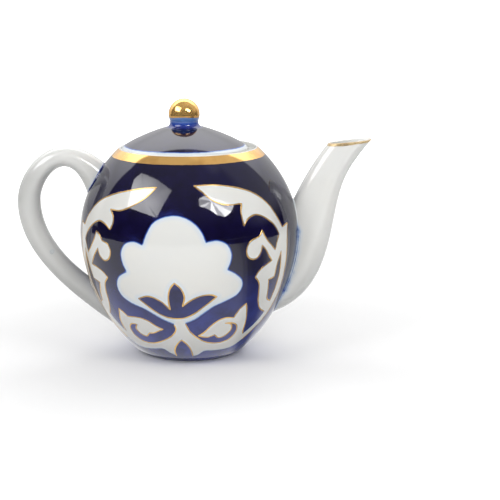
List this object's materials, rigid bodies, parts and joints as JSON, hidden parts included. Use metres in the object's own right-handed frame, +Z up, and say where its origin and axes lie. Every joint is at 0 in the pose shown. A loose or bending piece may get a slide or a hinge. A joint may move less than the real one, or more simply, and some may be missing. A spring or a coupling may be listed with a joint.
{
  "type": "porcelain teapot",
  "caption": "Round porcelain teapot with a lift-off lid, a strainer wall behind its spout, and a loop handle, in cobalt, white and gilding.",
  "frame": {"origin": "middle of the foot ring, on the surface that the pot stands on", "axes": "+Z up along the pot's axis, +X towards the spout, -X towards the handle"},
  "size_m": [0.2046, 0.1262, 0.1483],
  "materials": {
    "cobalt_glaze": "cobalt under clear gloss glaze, with white panels outlined in gold",
    "white_glaze": "clear gloss glaze over white porcelain",
    "gilding": "burnished gold fired over the glaze",
    "biscuit": "bare unglazed porcelain, matt"
  },
  "bodies": {
    "pot": {"pot_body": "cobalt_glaze", "foot_ring": "biscuit", "spout": "white_glaze", "spout_luting": "white_glaze", "handle": "white_glaze", "handle_luting": "white_glaze", "neck_gilding": "gilding", "lip_gilding": "gilding"},
    "lid": {"lid": "cobalt_glaze", "lid_flange": "white_glaze", "knob_neck": "cobalt_glaze", "knob": "gilding"}
  },
  "joints": [
    {"name": "lid_lift", "type": "slide", "parent": "pot", "child": "lid", "axis": [0, 0, 1], "range_m": [0, 0.06]}
  ]
}
